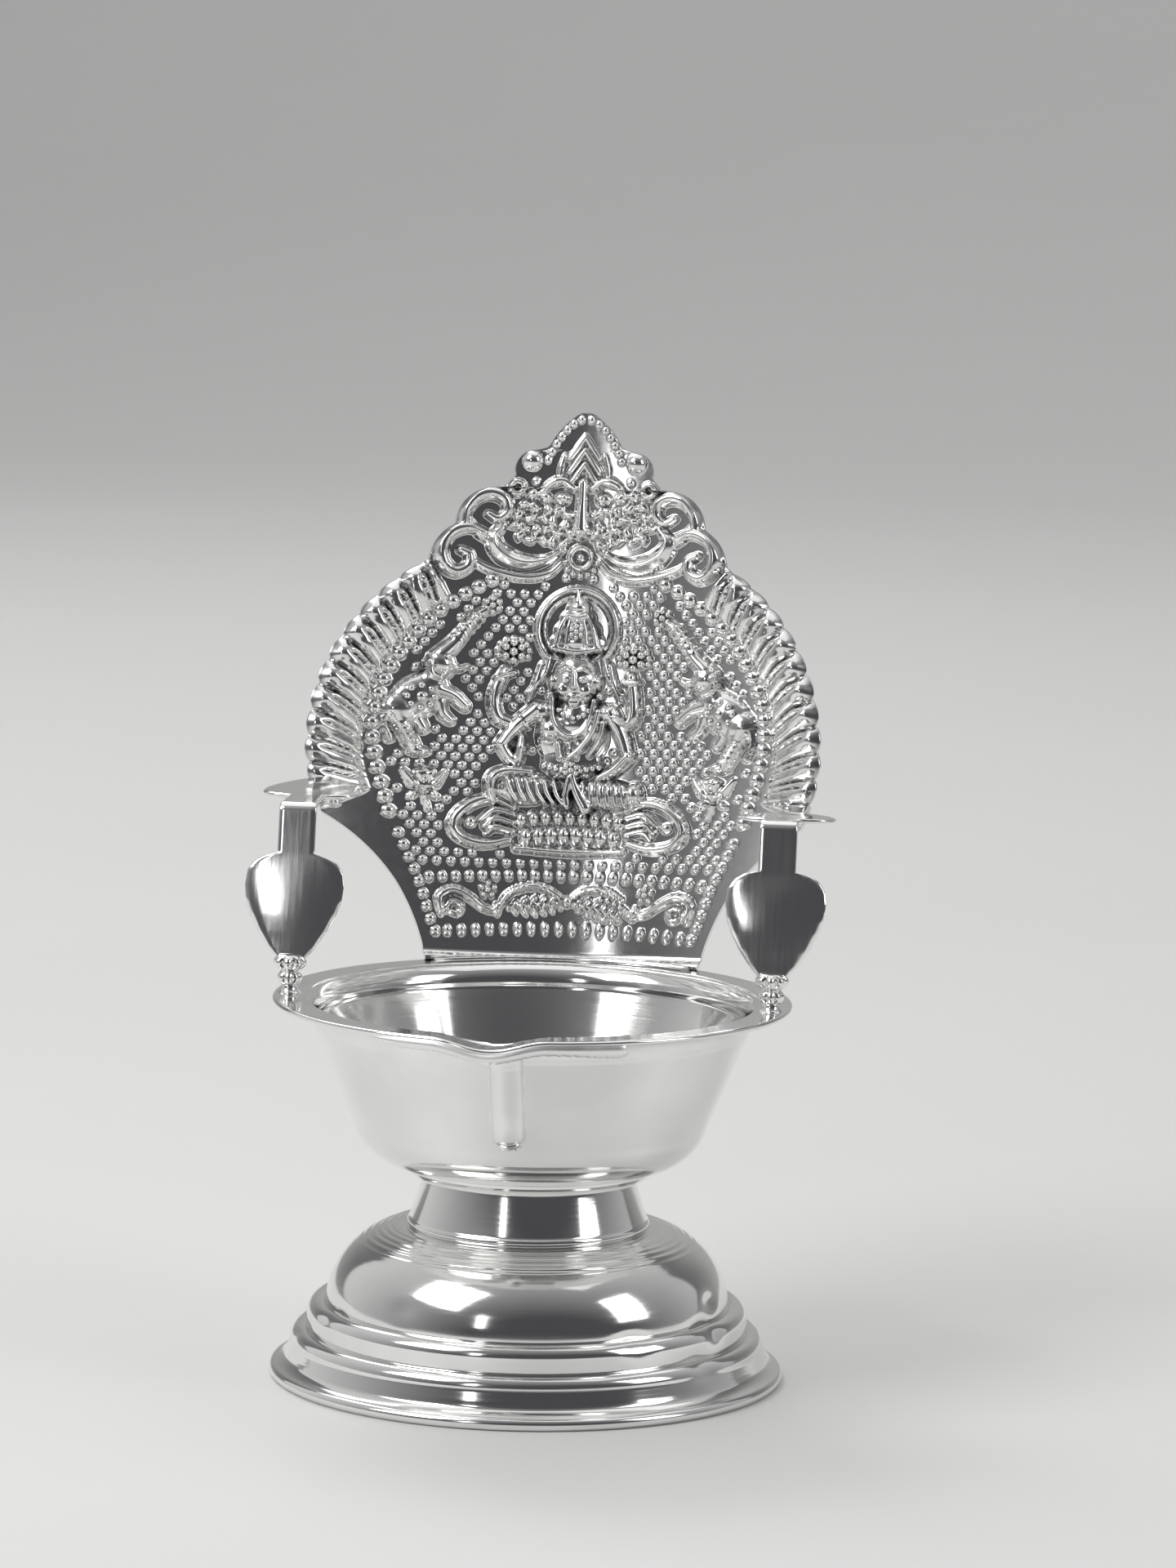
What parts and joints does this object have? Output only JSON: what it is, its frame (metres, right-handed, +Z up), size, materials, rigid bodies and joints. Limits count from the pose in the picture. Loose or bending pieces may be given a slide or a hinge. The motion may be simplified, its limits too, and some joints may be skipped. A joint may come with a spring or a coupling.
{
  "type": "oil lamp",
  "caption": "Free-standing polished silver oil lamp: stepped spun base, collar, spouted oil bowl, and an embossed figure back plate steadied by leaf-shaped brackets.",
  "frame": {"origin": "on the lamp's vertical axis, on the surface that it stands on", "axes": "+Z up along the axis of base and bowl; -Y towards the spout; the back plate stands at +Y"},
  "size_m": [0.0788, 0.0821, 0.1273],
  "materials": {
    "silver": "polished silver-coloured sheet metal with fine turning marks and hairline scratches",
    "embossed_silver": "embossed silver-coloured sheet metal, bright on the raised parts and dull in the hollows",
    "brass": "plain turned brass"
  },
  "bodies": {
    "base": {"base_shell": "silver", "neck_collar": "silver"},
    "lamp_top": {"bowl": "silver", "bowl_foot_ring": "silver", "spout_lip": "silver", "back_plate": "embossed_silver", "left_leaf_bracket": "silver", "right_leaf_bracket": "silver", "left_rim_bud": "embossed_silver", "right_rim_bud": "embossed_silver", "tie_stud": "brass"},
    "washer": {"clamp_washer": "brass"},
    "nut": {"clamp_nut": "brass"}
  },
  "joints": [
    {"name": "bowl_lift", "type": "slide", "parent": "base", "child": "lamp_top", "axis": [0, 0, 1], "range_m": [0, 0.016]},
    {"name": "washer_drop", "type": "slide", "parent": "base", "child": "washer", "axis": [0, 0, -1], "range_m": [0, 0.0072]},
    {"name": "nut_turn", "type": "hinge", "parent": "washer", "child": "nut", "pos_m": [0, 0, 0.0167], "axis": [0, 0, -1], "range_deg": [0, 3245]}
  ],
  "couplings": [
    {"joint": "nut_turn", "follows": "washer_drop", "rad_per_m": 7854}
  ]
}
